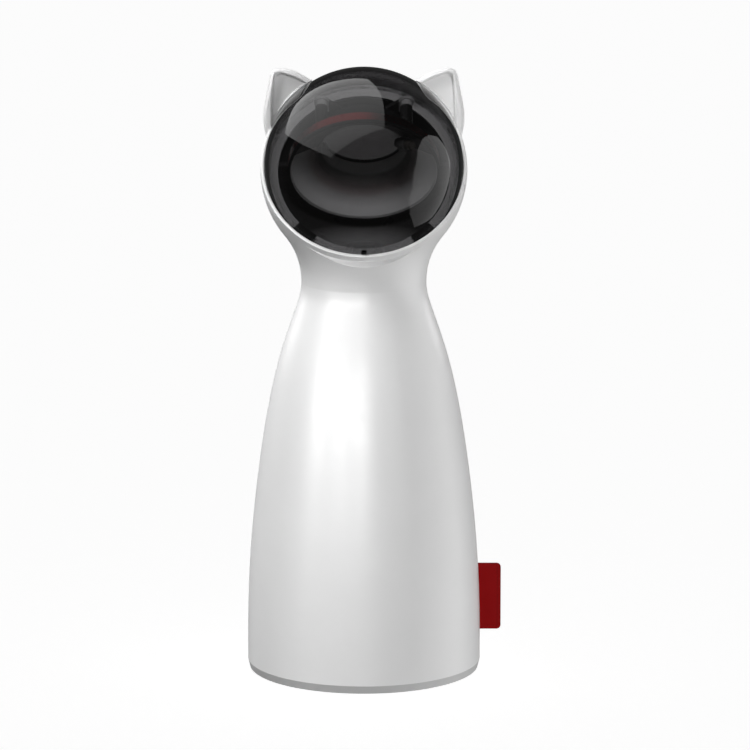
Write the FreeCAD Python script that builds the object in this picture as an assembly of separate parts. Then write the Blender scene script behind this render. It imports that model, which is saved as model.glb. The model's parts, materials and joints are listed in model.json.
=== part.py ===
import FreeCAD, Part
import math
import os

# Automatic cat laser toy: a turned body with a ball head, a smoked dome, cat ears and
# a scanning head inside.  Millimetres, +Z up, front towards -Y, origin at the centre
# of the face that the toy rests on.

V = FreeCAD.Vector
X_AXIS = V(1, 0, 0)
Y_AXIS = V(0, 1, 0)
Z_AXIS = V(0, 0, 1)
FAR = 120.0            # longer than any piece; size of cutting blocks
LOFT_DEGREE = 2        # highest degree of the lofted surfaces

# ---------------------------------------------------------------- driving dimensions
wall = 2.2             # moulded shell wall
flat_gap = 0.10        # play between pieces that drop in beside each other
sphere_gap = 0.30      # play between curved faces that nest
running_gap = 0.05     # radial play of shafts, pins and screws in their holes

# body
body_r = 42.4          # widest radius, near the base
foot_h = 0.3           # height of the base plate above the rest face
seam_z = 3.2           # joint between base plate and shells
straight_z = 14.0      # top of the nearly cylindrical skirt
band_chamfer = 0.7     # base band leans in this much
spigot_t = 2.0
spigot_h = 3.0
neck_r = 22.6
neck_z = 143.5
# side line between skirt and neck, as shares of its height and of its step in radius
side_shares = ((0.0, 1.0), (0.25, 0.936), (0.42, 0.828), (0.65, 0.603), (0.82, 0.334),
               (0.94, 0.070))

# head
head_r = 37.3
head_z = 184.5
mouth_tilt = 38.0      # elevation of the mouth's outward direction
rim_w = 1.3            # shell rim left around the dome
parting_w = 0.4        # fine groove along the seam between the two shells
parting_depth = 0.3

# dome
dome_wall = 1.6
dome_play = 0.2        # between the dome's edge and the groove
dome_rise = 2.4        # dome centre in front of the mouth plane
dome_sink = 2.0        # how deep the dome's edge sits in the mouth

# bezel ring and liner bowl under the dome
bezel_w = 5.0          # width of the ring
bezel_t = 1.4
bowl_wall = 1.2
bowl_lip_w = 1.4       # how far the bowl's lip stands out
bowl_lip_t = 1.2
notch_from = 31.6      # bezel notches, degrees either side of the bottom
notch_to = 43.2
notch_depth = 0.85
notch_inset = 1.0      # ring left inside the notches

# scanning head
scan_tilt = -39.5      # elevation of the direction the scanner faces
scan_shift = 0.4       # scanner's front plane in front of the head centre
lip_play = 6.1         # between the scanner's lip and the bowl
lip_t = 0.8
lip_w = 1.2
funnel_step = 9.1      # from the funnel's mouth in to its throat
throat_depth = 7.0
throat_step = 1.4      # from the throat in to the well
throat_share = 0.75    # wall at the throat as a share of the funnel's
well_start = 10.7
well_share = 0.608     # well's depth as a share of the lip's radius
cup_wall = 1.2
seat_w = 3.7           # how far the bowl's seat reaches in under the lip
seat_t = 1.6

# mirror, gears and motor
mirror_t = 1.0
mirror_lift = 0.4      # mirror's centre in front of the well's back edge
mirror_tilt = 4.0
mirror_edge = 0.3      # carrier left round the mirror
carrier_play = 0.7     # between carrier and well
gear_module = 0.5
gear_share = 0.738     # drive gear's radius as a share of the mirror carrier's
pressure_angle = 20.0
pinion_teeth = 12
gear_face = 2.0
gear_behind = 1.8      # gears' front face behind the well
tooth_addendum = 0.8   # in modules, stub teeth
tooth_dedendum = 1.15  # in modules
backlash = 0.10
hub_r = 2.0
bracket_gap = 0.4
bracket_t = 1.4
post_r = 2.2
post_gap = 1.0         # between the well and its screw posts
post_angles = (40, 140, 220, 320)
bracket_screw_bite = 5.0
motor_r = 5.0
motor_play = 0.9       # between the motor's far edge and the bowl, along the shaft
motor_cap_h = 0.5
motor_cap_share = 0.35 # cap's radius as a share of the motor's
motor_shaft_r = 0.75
shaft_in = 3.0         # length of shaft inside the motor
shaft_clear = 0.25
collar_wall = 0.8
collar_h = 2.0
bearing_wall = 4.0
lug_wall = 0.4
arm_w = 4.4
hub_tail = 1.6
clip_gap = 0.3
clip_t = 0.46
clip_play = 0.02
clip_bite = 0.4
clip_w = 1.4
clip_split = 1.8

# laser
laser_r = 1.8
laser_len = 7.5
laser_inset = 1.0      # laser's mouth inside the funnel's throat radius
laser_lean = 53.0      # off the scanner axis
laser_turn = 40.0      # around the scanner axis, from +X
laser_tail = 1.0
laser_mouth_r = 1.3
lens_t = 0.7
lens_depth = 0.3
cradle_wall = 0.6
cradle_start = 2.0
cradle_len = 3.5
cradle_foot_r = 1.2
cradle_foot_h = 3.6

# red ring between the scanner's lip and the bowl's seat
red_wall = 0.9
red_back = 4.1         # back edge behind the scanner's front plane

# ears
ear_front_y = 6.5
ear_back_y = 17.0
ear_dish = 1.8         # depth of the dished face
ear_roll = 0.055       # share by which the dish's lip and floor are rounded
ear_round = 1.2        # roundness of the rim
ear_taper = 0.45       # how far the back draws in towards the root
ear_gap = 0.6          # between the ears and the dome
# ear's outline as (height above the head's surface, angle up from the side)
ear_line = ((-3.2, 10.1), (-0.3, 17.3), (2.3, 23.9), (4.4, 30.3), (6.9, 37.8),
            (9.7, 44.0), (10.5, 46.5), (9.9, 48.6), (8.2, 51.1), (3.1, 55.7), (-3.5, 59.8),
            (-9.5, 60.0), (-15.0, 50.0), (-15.0, 20.0), (-9.0, 9.0))
dish_line = ((-2.2, 20.0), (0.4, 28.5), (3.7, 36.3), (7.5, 43.8), (8.6, 46.5), (8.1, 48.0),
             (5.7, 50.3), (3.0, 52.6), (-1.2, 55.4), (-7.6, 57.4), (-14.5, 38.0),
             (-10.4, 15.0))
ear_root = (-10.0, 37.0)

# battery compartment and door
cell_r = 7.15
cell_len = 50.5
cell_pitch = 15.0
cell_play = 0.3        # room left across the four cells
cell_bottom_z = 5.0
holder_wall = 1.5
door_t = 2.0
door_gap = 0.30
door_side = 0.25       # door opening beyond the holder's inside
contact_t = 0.4
contact_w = 8.0
cone_r = 3.5
cone_tip_r = 2.2
cell_nub_r = 2.75
cell_nub_h = 1.2
door_ledge = 1.5       # frame that the door closes against
finger_r = 4.5
finger_floor = 1.6
hinge_pin_r = 0.7
hinge_pin_len = 1.6

# fasteners
screw_r = 1.3
screw_head_r = 2.6
screw_head_h = 1.2
slot_reach = 0.6       # cross recess, half its length as a share of the head's radius
slot_half = 0.25       # half its width as a share of the shank's radius
slot_floor = 0.4       # material left under it as a share of the head's height
boss_r = 3.2
boss_clear = 1.0       # room round the shells' posts in the base
base_screw_inset = 9.5  # from the body's widest radius
base_boss_top = 16.0
web_t = 2.0
head_play = 0.3        # round screw heads and bosses
base_screw_grip = 11.0
base_screw_angles = (60, 120, 240, 300)
small_screw_r = 0.8
small_head_r = 1.6
small_head_h = 1.1
shell_screw_spots = ((25.0, 30.0), (15.0, 118.0))
shell_screw_seat = 6.0
shell_screw_grip = 9.0
shell_post_extra = 0.6 # shell posts are this much fatter than the base bosses

# feet
foot_r = 4.5
foot_inset = 8.0       # from the body's widest radius
foot_t = 1.0
foot_angles = (30, 150, 210, 330)

# rear controls
board_inset = 13.4     # board's front behind the shell's outside, at the button
board_t = 1.6
board_w = 26.0
board_above = 12.0     # above and below the button
board_below = 28.0
board_hole_x = 9.0
board_hole_low = 6.0   # hole rows, in from the board's two ends
board_hole_high = 4.0
board_post_r = 2.2
board_screw_bite = 4.0
button_z = 96.0
button_r = 5.0
button_travel = 0.8
button_proud = 1.2
switch_side = 6.0
switch_h = 3.5
switch_stem_h = 0.7
switch_stem_r = 1.75
button_play = 0.15
button_round = 0.6
button_collar = 1.3
button_collar_t = 1.0
led_drop = 12.0        # below the button
led_r = 1.5
led_len = 2.0

# power inlet
inlet_w = 8.0
inlet_h = 2.8
inlet_len = 6.2
inlet_clear = 0.5      # between the inlet's mouth and the shell's inside
inlet_board_clear = 2.6
inlet_board_z = 8.0
inlet_board_t = 1.2
inlet_board_w = 18.0
inlet_board_len = 13.2
inlet_post_x = 6.0
inlet_post_r = 2.0
inlet_wall = 0.4
inlet_tongue_t = 0.5
inlet_tongue_share = 0.6  # tongue's width as a share of the inlet's
inlet_play = 0.5

# side tag
tag_t = 1.6
tag_low_z = 13.8
tag_high_z = 38.3
tag_out = 7.6          # stands out of the body
tag_corner = 1.5
tag_border = 1.2       # raised border round the sunk field on each face
tag_sink = 0.15
tag_bead_r = 1.3
tag_bead_play = 0.4

# ------------------------------------------------------------------- derived places
head_c = V(0, 0, head_z)


def facing(elevation):
    """Rotation that points local +Z forwards (-Y) and up by the given elevation."""
    return FreeCAD.Rotation(X_AXIS, 90.0 - elevation)


mouth = FreeCAD.Placement(head_c, facing(mouth_tilt))
dome_c = mouth.multVec(V(0, 0, dome_rise))
dome_r = head_r - rim_w - dome_play
dome_in_r = dome_r - dome_wall
groove_r = head_r - rim_w
bezel_r = groove_r - bezel_w
bezel_top = -dome_sink
bowl_top = bezel_top - bezel_t
ledge = bowl_top - bowl_lip_t
bowl_r = groove_r - bowl_lip_w
bowl_in_r = bowl_r - bowl_wall
lip_r = bowl_in_r - lip_play
funnel_r = lip_r - lip_w
funnel_slope = funnel_step / throat_depth
throat_r = funnel_r - funnel_step
well_r = throat_r - throat_step
well_depth = lip_r * well_share
mirror_depth = well_depth - mirror_lift
gear_depth = well_depth + gear_behind
laser_reach = (throat_r - laser_inset) / math.sin(math.radians(laser_lean))
carrier_r = well_r - carrier_play
mirror_r = carrier_r - mirror_edge
red_in_r = lip_r - red_wall
post_circle_r = well_r + cup_wall + post_gap + post_r
scan = FreeCAD.Placement(head_c, facing(scan_tilt)).multiply(
    FreeCAD.Placement(V(0, 0, scan_shift), FreeCAD.Rotation()))
gear_teeth = round(2 * gear_share * carrier_r / gear_module)
gear_r = gear_module * gear_teeth / 2
pinion_r = gear_module * pinion_teeth / 2
pinion_spot = V(0, -(gear_r + pinion_r), 0)
bracket_front = gear_depth + gear_face + bracket_gap
bracket_back = bracket_front + bracket_t
motor_corner = gear_r + pinion_r + motor_r
motor_len = (math.sqrt(bowl_in_r ** 2 - motor_corner ** 2) + scan_shift - bracket_back
             - motor_play)
holder_in = 2 * cell_pitch + cell_play
holder_out = holder_in + 2 * holder_wall
cell_top_z = cell_bottom_z + cell_len
hinge_y = holder_in / 2
hinge_z = foot_h + door_t / 2
door_half = holder_in / 2 + door_side
base_screw_circle = body_r - base_screw_inset
foot_circle = body_r - foot_inset
led_z = button_z - led_drop
inlet_back = body_r - wall - inlet_clear - inlet_len
inlet_board_y = body_r - wall - inlet_board_clear - inlet_board_len
inlet_low = inlet_board_z + inlet_board_t
tag_reach = body_r + tag_out


# ------------------------------------------------------------------------- helpers
def cylinder(r, z0, z1, at=V(0, 0, 0)):
    """Solid cylinder along local Z between two heights."""
    return Part.makeCylinder(r, z1 - z0, V(at.x, at.y, z0))


def tube(r_out, r_in, z0, z1, at=V(0, 0, 0)):
    return cylinder(r_out, z0, z1, at).cut(cylinder(r_in, z0 - 1, z1 + 1, at))


def block(x0, x1, y0, y1, z0, z1):
    return Part.makeBox(x1 - x0, y1 - y0, z1 - z0, V(x0, y0, z0))


def rod_y(r, y0, y1, x, z):
    """Cylinder along Y."""
    return Part.makeCylinder(r, y1 - y0, V(x, y0, z), Y_AXIS)


def turned(points):
    """Solid of revolution about Z from a closed outline of (radius, height) corners."""
    corners = [V(r, 0, z) for r, z in points]
    face = Part.Face(Part.makePolygon(corners + corners[:1]))
    return face.revolve(V(0, 0, 0), Z_AXIS, 360)


def placed(shape, place):
    copy = shape.copy()
    copy.Placement = place.multiply(copy.Placement)
    return copy


def on_circle(radius, angle):
    a = math.radians(angle)
    return V(radius * math.cos(a), radius * math.sin(a), 0)


def fused(shapes):
    return shapes[0].multiFuse(shapes[1:]).removeSplitter()


# ---------------------------------------------------------------------------- shells
def body_solid(inset, bottom):
    """Body, neck and ball head as one solid, every surface moved in by inset."""
    skirt = V(body_r - inset, 0, bottom)
    neck = V(neck_r - inset, 0, neck_z)
    side = Part.BSplineCurve()
    waypoints = [V(neck_r + share * (body_r - neck_r) - inset, 0,
                   straight_z + rise * (neck_z - straight_z))
                 for rise, share in side_shares]
    side.interpolate(Points=[skirt] + waypoints + [neck],
                     InitialTangent=V(0, 0, 1), FinalTangent=V(0, 0, 1))
    # the neck fillet touches the neck line and the ball
    rise = head_z - neck_z
    fillet = (neck_r ** 2 + rise ** 2 - head_r ** 2) / (2 * (head_r - neck_r))
    centre = V(neck_r + fillet, 0, neck_z)
    away = (centre - head_c).normalize()
    touch = head_c + away * (head_r - inset)
    half = math.atan2(touch.z - neck_z, centre.x - touch.x) / 2
    reach = fillet + inset
    middle = V(centre.x - reach * math.cos(half), 0, neck_z + reach * math.sin(half))
    low_angle = math.atan2(touch.z - head_z, touch.x)
    bulge = (low_angle + math.pi / 2) / 2
    cheek = head_c + V(math.cos(bulge), 0, math.sin(bulge)) * (head_r - inset)
    crown = head_c + Z_AXIS * (head_r - inset)
    outline = [
        Part.makeLine(V(0, 0, bottom), skirt),
        side.toShape(),
        Part.Arc(neck, middle, touch).toShape(),
        Part.Arc(touch, cheek, crown).toShape(),
        Part.makeLine(crown, V(0, 0, bottom)),
    ]
    face = Part.Face(Part.Wire(outline))
    return face.revolve(V(0, 0, 0), Z_AXIS, 360)


def body_radius(z):
    """Outside radius of the body at a height below the neck."""
    ray = Part.makeLine(V(0, 0, z), V(FAR, 0, z))
    return outer.common(ray).Length


def beside_head(side, above, angle):
    """Point above the head's surface, at an angle up from the toy's side."""
    a = math.radians(angle)
    reach = head_r + above
    return V(side * reach * math.cos(a), 0, head_z + reach * math.sin(a))


def ear_ring(line, side, y, inset, share):
    """Closed curve round an ear at a depth, moved in by inset and shrunk to the root."""
    spots = [beside_head(side, above, angle) for above, angle in line]
    root = beside_head(side, *ear_root)
    ring = []
    for i, spot in enumerate(spots):
        along = spots[(i + 1) % len(spots)] - spots[i - 1]
        inward = V(-along.z, 0, along.x).normalize() * side
        ring.append(root + (spot + inward * inset - root) * share + V(0, y, 0))
    curve = Part.BSplineCurve()
    curve.interpolate(Points=ring, PeriodicFlag=True)
    return Part.Wire(curve.toShape())


def ear(side):
    """One ear: a horn with a rounded front rim, an oval back and a soft dish in front."""
    rings = []
    for angle in (90, 60, 30, 0):
        a = math.radians(angle)
        rings.append(ear_ring(ear_line, side, ear_front_y + ear_round * (1 - math.sin(a)),
                              ear_round * (1 - math.cos(a)), 1))
    start = ear_front_y + ear_round
    for angle in range(15, 91, 15):
        a = math.radians(angle)
        rings.append(ear_ring(ear_line, side, start + math.sin(a) * (ear_back_y - start), 0,
                              1 - ear_taper * (1 - math.cos(a))))
    horn = Part.makeLoft(rings, True, False, False, LOFT_DEGREE)
    # the dish rolls over its lip and out again into its floor
    rings = []
    for angle in range(0, 181, 30):
        a = math.radians(angle)
        step = math.copysign(ear_roll * (1 - math.sin(a)), 90 - angle)
        rings.append(ear_ring(dish_line, side,
                              ear_front_y + ear_dish * (1 - math.cos(a)) / 2, 0, 1 + step))
    return horn.cut(Part.makeLoft(rings, True, True))


def half_shell(blank, sign):
    """Front (sign -1) or rear (+1) half of the hollow shell, with its screw posts."""
    y0, y1 = (-FAR, 0) if sign < 0 else (0, FAR)
    half = blank.common(block(-FAR, FAR, y0, y1, -FAR, 2 * FAR))
    posts = [rod_y(boss_r + shell_post_extra, y0, y1, x, z) for x, z in screw_spots()]
    holes = [rod_y(screw_r + running_gap, -shell_screw_grip - 1, 1, x, z)
             for x, z in screw_spots()]
    for angle in base_screw_angles:
        spot = on_circle(base_screw_circle, angle)
        holes.append(cylinder(screw_r + running_gap, seam_z - 1,
                              seam_z + base_screw_grip, spot))
        if spot.y * sign > 0:
            posts.append(cylinder(boss_r, seam_z, base_boss_top, spot))
            web = block(base_screw_circle, body_r - wall / 2, -web_t / 2, web_t / 2,
                        seam_z, straight_z)
            web.rotate(V(0, 0, 0), Z_AXIS, angle)
            posts.append(web)
    if sign > 0:
        for x, z in board_holes():
            posts.append(rod_y(board_post_r, board_y + board_t, FAR, x, z))
            holes.append(rod_y(small_screw_r + running_gap, 0,
                               board_y + board_t + board_screw_bite + 1, x, z))
        for x, z in screw_spots():
            holes.append(rod_y(screw_r + flat_gap, -1, FAR, x, z))
            holes.append(rod_y(screw_head_r + head_play, shell_screw_seat, FAR, x, z))
    half = fused([half] + [post.common(outer) for post in posts])
    for hole in holes + [tag_room()]:
        half = half.cut(hole)
    return half


def screw_spots():
    """Where the screws that join the two shells stand, as (x, z)."""
    return [(side * x, z) for x, z in shell_screw_spots for side in (-1, 1)]


def board_holes():
    """Screw holes of the circuit board, as (x, z)."""
    low = button_z - board_below + board_hole_low
    high = button_z + board_above - board_hole_high
    return [(side * board_hole_x, z) for z in (low, high) for side in (-1, 1)]


def shell_blank():
    """The hollow white shell before it is split: body, head below the mouth, ears."""
    above = placed(block(-FAR, FAR, -FAR, FAR, 0, FAR), mouth)
    ball = outer.cut(above)
    around = Part.makeSphere(dome_r + ear_gap, dome_c)
    ears = [ear(side).cut(around) for side in (-1, 1)]
    blank = fused([ball] + ears)
    blank = blank.cut(inner)
    groove = placed(cylinder(groove_r, ledge, 1), mouth)
    return blank.cut(groove).cut(parting_line())


def parting_line():
    """Thin cutter for the groove where the two shells meet."""
    slab = block(-FAR, FAR, -parting_w / 2, parting_w / 2, seam_z - 1, 2 * FAR)
    return slab.cut(body_solid(parting_depth, seam_z - 2))


def tag_tongue(grow):
    """Flat tongue through the side seam, with a retaining bead inside the wall."""
    bead_x = body_r - wall - tag_bead_r - tag_bead_play
    low, high = tag_low_z - grow, tag_high_z + grow
    tongue = block(bead_x, tag_reach + grow, -tag_t / 2 - grow, tag_t / 2 + grow, low, high)
    bead = cylinder(tag_bead_r + grow, low, high, V(bead_x, 0, 0))
    return tongue, bead


def side_tag():
    """Side tag, its two outer corners rounded."""
    tongue, bead = tag_tongue(0)
    corners = [e for e in tongue.Edges
               if e.BoundBox.YLength > tag_t / 2 and e.BoundBox.XMin > body_r]
    plate = tongue.makeFillet(tag_corner, corners)
    for y0, y1 in ((-tag_t, tag_sink - tag_t / 2), (tag_t / 2 - tag_sink, tag_t)):
        plate = plate.cut(block(body_r + tag_border, tag_reach - tag_border, y0, y1,
                                tag_low_z + tag_border, tag_high_z - tag_border))
    return fused([plate, bead])


def tag_room():
    """Slot in the shells for the side tag."""
    return fused(list(tag_tongue(flat_gap)))


# ------------------------------------------------------------------------------ base
def base_plate():
    """Round plate with a chamfered band, a spigot ring and the battery opening."""
    band_low = body_r - band_chamfer
    spigot = body_r - wall - flat_gap
    spigot_in = spigot - spigot_t
    spigot_top = seam_z + spigot_h
    plate = turned([(0, foot_h), (band_low, foot_h), (body_r, seam_z), (spigot, seam_z),
                    (spigot, spigot_top), (spigot_in, spigot_top), (spigot_in, seam_z),
                    (0, seam_z)])
    for x in (-inlet_post_x, inlet_post_x):
        at = V(x, inlet_board_y + inlet_board_len - 2 * inlet_post_r, 0)
        plate = plate.fuse(cylinder(inlet_post_r, seam_z - 1, inlet_board_z, at))
    for x, z in screw_spots():
        plate = plate.cut(rod_y(boss_r + boss_clear, -FAR, FAR, x, z))
    hinge_edge = hinge_y + door_t / 2 + door_gap
    plate = plate.cut(block(-door_half, door_half, -door_half, hinge_edge,
                            0, foot_h + door_t + flat_gap))
    ledge_half = door_half - door_ledge
    plate = plate.cut(block(-ledge_half, ledge_half, -ledge_half, ledge_half, 0, FAR))
    plate = plate.cut(cylinder(finger_r, 0, seam_z - finger_floor, V(0, -door_half, 0)))
    pin_reach = door_half + hinge_pin_len
    plate = plate.cut(Part.makeCylinder(hinge_pin_r + running_gap, 2 * pin_reach,
                                        V(-pin_reach, hinge_y, hinge_z), X_AXIS))
    for angle in base_screw_angles:
        spot = on_circle(base_screw_circle, angle)
        plate = plate.cut(cylinder(screw_r + flat_gap, -1, FAR, spot))
        plate = plate.cut(cylinder(screw_head_r + head_play, 0, foot_h + screw_head_h, spot))
        plate = plate.cut(boss_room(angle))
    for angle in foot_angles:
        plate = plate.cut(cylinder(foot_r, 0, foot_t, on_circle(foot_circle, angle)))
    return plate.removeSplitter()


def boss_room(angle):
    """Room in the spigot ring for one screw boss of the shells."""
    half = boss_r + head_play
    room = block(base_screw_circle - boss_r - 1, body_r - wall, -half, half, seam_z, FAR)
    room.rotate(V(0, 0, 0), Z_AXIS, angle)
    return room


def battery_door():
    half = door_half - door_gap
    slab = block(-half, half, -half, hinge_y, foot_h, foot_h + door_t)
    barrel = Part.makeCylinder(door_t / 2, 2 * half, V(-half, hinge_y, hinge_z), X_AXIS)
    reach = half + hinge_pin_len
    pin = Part.makeCylinder(hinge_pin_r, 2 * reach, V(-reach, hinge_y, hinge_z), X_AXIS)
    return fused([slab, barrel, pin])


def door_contacts():
    """Two bridging plates on the door, each with two pressed cones for the cells."""
    low = foot_h + door_t + contact_t
    half_len = cell_pitch / 2 + contact_w / 2
    plates = []
    for x in (-cell_pitch / 2, cell_pitch / 2):
        plate = block(x - contact_w / 2, x + contact_w / 2, -half_len, half_len,
                      low - contact_t, low)
        cones = [Part.makeCone(cone_r, cone_tip_r, cell_bottom_z - low, V(x, y, low))
                 for y in (-cell_pitch / 2, cell_pitch / 2)]
        plates.append(fused([plate] + cones))
    return plates


def top_contacts():
    half_len = cell_pitch / 2 + contact_w / 2
    return [block(-half_len, half_len, y - contact_w / 2, y + contact_w / 2,
                  cell_top_z, cell_top_z + contact_t)
            for y in (-cell_pitch / 2, cell_pitch / 2)]


def battery_holder():
    """Square well over the door that holds the four cells, closed at the top."""
    top = cell_top_z + contact_t
    outside = holder_out / 2
    inside = holder_in / 2
    box = block(-outside, outside, -outside, outside, seam_z, top + holder_wall)
    return box.cut(block(-inside, inside, -inside, inside, 0, top))


def battery_cells():
    """Four standing cells, alternately nub down and nub up."""
    cells = []
    for x, y, nub_down in ((-1, -1, False), (-1, 1, True), (1, -1, True), (1, 1, False)):
        at = V(x * cell_pitch / 2, y * cell_pitch / 2, 0)
        low, high = cell_bottom_z, cell_top_z
        nub = (low, low + cell_nub_h) if nub_down else (high - cell_nub_h, high)
        can = (low + cell_nub_h, high) if nub_down else (low, high - cell_nub_h)
        cells.append(fused([cylinder(cell_r, *can, at), cylinder(cell_nub_r, *nub, at)]))
    return cells


def rubber_feet():
    return [cylinder(foot_r - flat_gap, 0, foot_t, on_circle(foot_circle, angle))
            for angle in foot_angles]


def screw(r, head_r, head_h, grip):
    """Screw along +Z: head below z = 0 with a cross recess, shank above."""
    arm = head_r * slot_reach
    half = r * slot_half
    low, floor = -head_h - 1, -head_h * slot_floor
    slot = block(-arm, arm, -half, half, low, floor)
    cross = slot.fuse(block(-half, half, -arm, arm, low, floor))
    return cylinder(head_r, -head_h, 0).fuse(cylinder(r, 0, grip)).cut(cross)


def base_screws():
    one = screw(screw_r, screw_head_r, screw_head_h, base_screw_grip)
    spots = [on_circle(base_screw_circle, a) for a in base_screw_angles]
    turn = FreeCAD.Rotation()
    return [placed(one, FreeCAD.Placement(s + V(0, 0, foot_h + screw_head_h), turn))
            for s in spots]


def shell_screws():
    one = screw(screw_r, screw_head_r, screw_head_h * 1.5,
                shell_screw_seat + shell_screw_grip)
    turn = FreeCAD.Rotation(X_AXIS, 90)
    return [placed(one, FreeCAD.Placement(V(x, shell_screw_seat, z), turn))
            for x, z in screw_spots()]


# ------------------------------------------------------------------- dome and liner
def dome_window():
    """Smoked dome: a spherical cap a little over a hemisphere."""
    shell = Part.makeSphere(dome_r, dome_c).cut(Part.makeSphere(dome_in_r, dome_c))
    keep = placed(cylinder(FAR, -dome_sink, FAR), mouth)
    return shell.common(keep)


def bezel_ring():
    """Flat ring under the dome, with two snap notches beside its lowest point."""
    ring = tube(groove_r - sphere_gap, bezel_r, bowl_top, bezel_top)
    floor = bezel_top - notch_depth
    for start in (notch_from - 90, -90 - notch_to):
        wedge = Part.makeCylinder(FAR, FAR, V(0, 0, floor), Z_AXIS, notch_to - notch_from)
        wedge = wedge.cut(cylinder(bezel_r + notch_inset, floor - 1, FAR + 1))
        wedge.rotate(V(0, 0, 0), Z_AXIS, start)
        ring = ring.cut(wedge)
    return placed(ring, mouth)


def liner_bowl():
    """Black bowl behind the dome, with a lip on the shell's ledge and a seat for the
    scanner."""
    below = cylinder(FAR, -FAR, bowl_top)
    hollow = Part.makeSphere(bowl_in_r)
    bowl = Part.makeSphere(bowl_r).cut(hollow).common(below)
    lip = tube(groove_r - sphere_gap, bowl_in_r, ledge, bowl_top).cut(hollow)
    bowl = placed(fused([bowl, lip]), mouth)
    seat = tube(bowl_r, lip_r - seat_w, -red_back - seat_t, -red_back)
    seat = placed(seat, scan).common(placed(below, mouth))
    seat = seat.common(Part.makeSphere(bowl_r - bowl_wall / 2, head_c))
    return fused([bowl, seat])


# ----------------------------------------------------------------------- scanner
def laser_direction():
    lean = math.radians(laser_lean)
    turn = math.radians(laser_turn)
    return V(math.sin(lean) * math.cos(turn), math.sin(lean) * math.sin(turn),
             math.cos(lean))


def along_laser(r, start, length):
    """Cylinder on the laser's line, its start measured from the mirror's centre."""
    way = laser_direction()
    origin = V(0, 0, -mirror_depth) + way * start
    return Part.makeCylinder(r, length, origin, way)


def post_spots():
    return [on_circle(post_circle_r, angle) for angle in post_angles]


def scanner_cup():
    """Lip, funnel and well in one moulding, with the laser cradle and screw posts."""
    # radial thickness of the cone's wall, measured across the axis
    across = cup_wall * math.hypot(1, funnel_slope)
    ring_seat_r = red_in_r - flat_gap
    ring_seat_back = (funnel_r + across - ring_seat_r) / funnel_slope
    outline = [(lip_r, 0), (lip_r, -lip_t), (ring_seat_r, -lip_t),
               (ring_seat_r, -ring_seat_back),
               (throat_r + across * throat_share, -throat_depth),
               (well_r + cup_wall, -well_start), (well_r + cup_wall, -well_depth),
               (0, -well_depth), (0, 0)]
    posts = [cylinder(post_r, -bracket_front, -lip_t, spot) for spot in post_spots()]
    cup = fused([turned(outline)] + posts)
    hollow = turned([(0, 1), (funnel_r, 1), (funnel_r, 0), (throat_r, -throat_depth),
                     (well_r, -well_start), (well_r, -well_depth - 1),
                     (0, -well_depth - 1)])
    cup = cup.cut(hollow)
    cradle = along_laser(laser_r + cradle_wall, laser_reach + cradle_start, cradle_len)
    cradle_mid = cradle_start + cradle_len / 2
    middle = V(0, 0, -mirror_depth) + laser_direction() * (laser_reach + cradle_mid)
    down = V(throat_depth, 0, -funnel_step).normalize()
    down = FreeCAD.Rotation(Z_AXIS, laser_turn).multVec(down)
    foot = Part.makeCylinder(cradle_foot_r, cradle_foot_h, middle, down)
    cup = fused([cup, cradle.fuse(foot)])
    cup = cup.cut(along_laser(laser_r + running_gap, laser_reach - laser_r * 2,
                              laser_len + laser_r * 4))
    for spot in post_spots():
        cup = cup.cut(cylinder(small_screw_r + running_gap, -bracket_front - 1,
                               -bracket_front + bracket_screw_bite + 1, spot))
    return cup


def red_ring():
    """Coloured band round the funnel, held between the lip and the bowl's seat."""
    return tube(lip_r, red_in_r, -red_back, -lip_t)


def mirror_disc():
    disc = Part.makeCylinder(mirror_r, mirror_t, V(0, 0, -mirror_t))
    disc.rotate(V(0, 0, 0), X_AXIS, mirror_tilt)
    disc.translate(V(0, 0, -mirror_depth))
    return disc


def gear_face_shape(teeth, depth, pointing):
    """Spur gear outline with involute flanks, one tooth centred on the angle given."""
    pitch = gear_module * teeth / 2
    base = pitch * math.cos(math.radians(pressure_angle))
    tip = pitch + tooth_addendum * gear_module
    root = pitch - tooth_dedendum * gear_module
    half_tooth = (math.pi * gear_module / 2 - backlash) / 2 / pitch

    def involute(radius):
        """Angle between an involute's start and its point at a radius."""
        if radius <= base:
            return 0.0
        swing = math.acos(base / radius)
        return math.tan(swing) - swing

    start = half_tooth + involute(pitch)
    low = max(base, root)
    edges = []
    step = 2 * math.pi / teeth
    for k in range(teeth):
        middle = math.radians(pointing) + k * step

        def point(radius, angle):
            return V(radius * math.cos(middle + angle), radius * math.sin(middle + angle),
                     depth)

        mean = (low + tip) / 2
        flank = [(root, start), (low, start), (mean, start - involute(mean)),
                 (tip, start - involute(tip))]
        rise = [point(r, -a) for r, a in flank]
        fall = [point(r, a) for r, a in flank]
        if low > root:
            edges.append(Part.makeLine(rise[0], rise[1]))
        edges.append(Part.Arc(rise[1], rise[2], rise[3]).toShape())
        edges.append(Part.Arc(rise[3], point(tip, 0), fall[3]).toShape())
        edges.append(Part.Arc(fall[3], fall[2], fall[1]).toShape())
        if low > root:
            edges.append(Part.makeLine(fall[1], fall[0]))
        edges.append(Part.Arc(fall[0], point(root, step / 2), point(root, step - start)).toShape())
    return Part.Face(Part.Wire(edges))


def spur_gear(teeth, front, face, pointing):
    """Gear whose front face lies at a depth behind the scanner's front plane."""
    outline = gear_face_shape(teeth, -front - face, pointing)
    return outline.extrude(V(0, 0, face))


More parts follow.
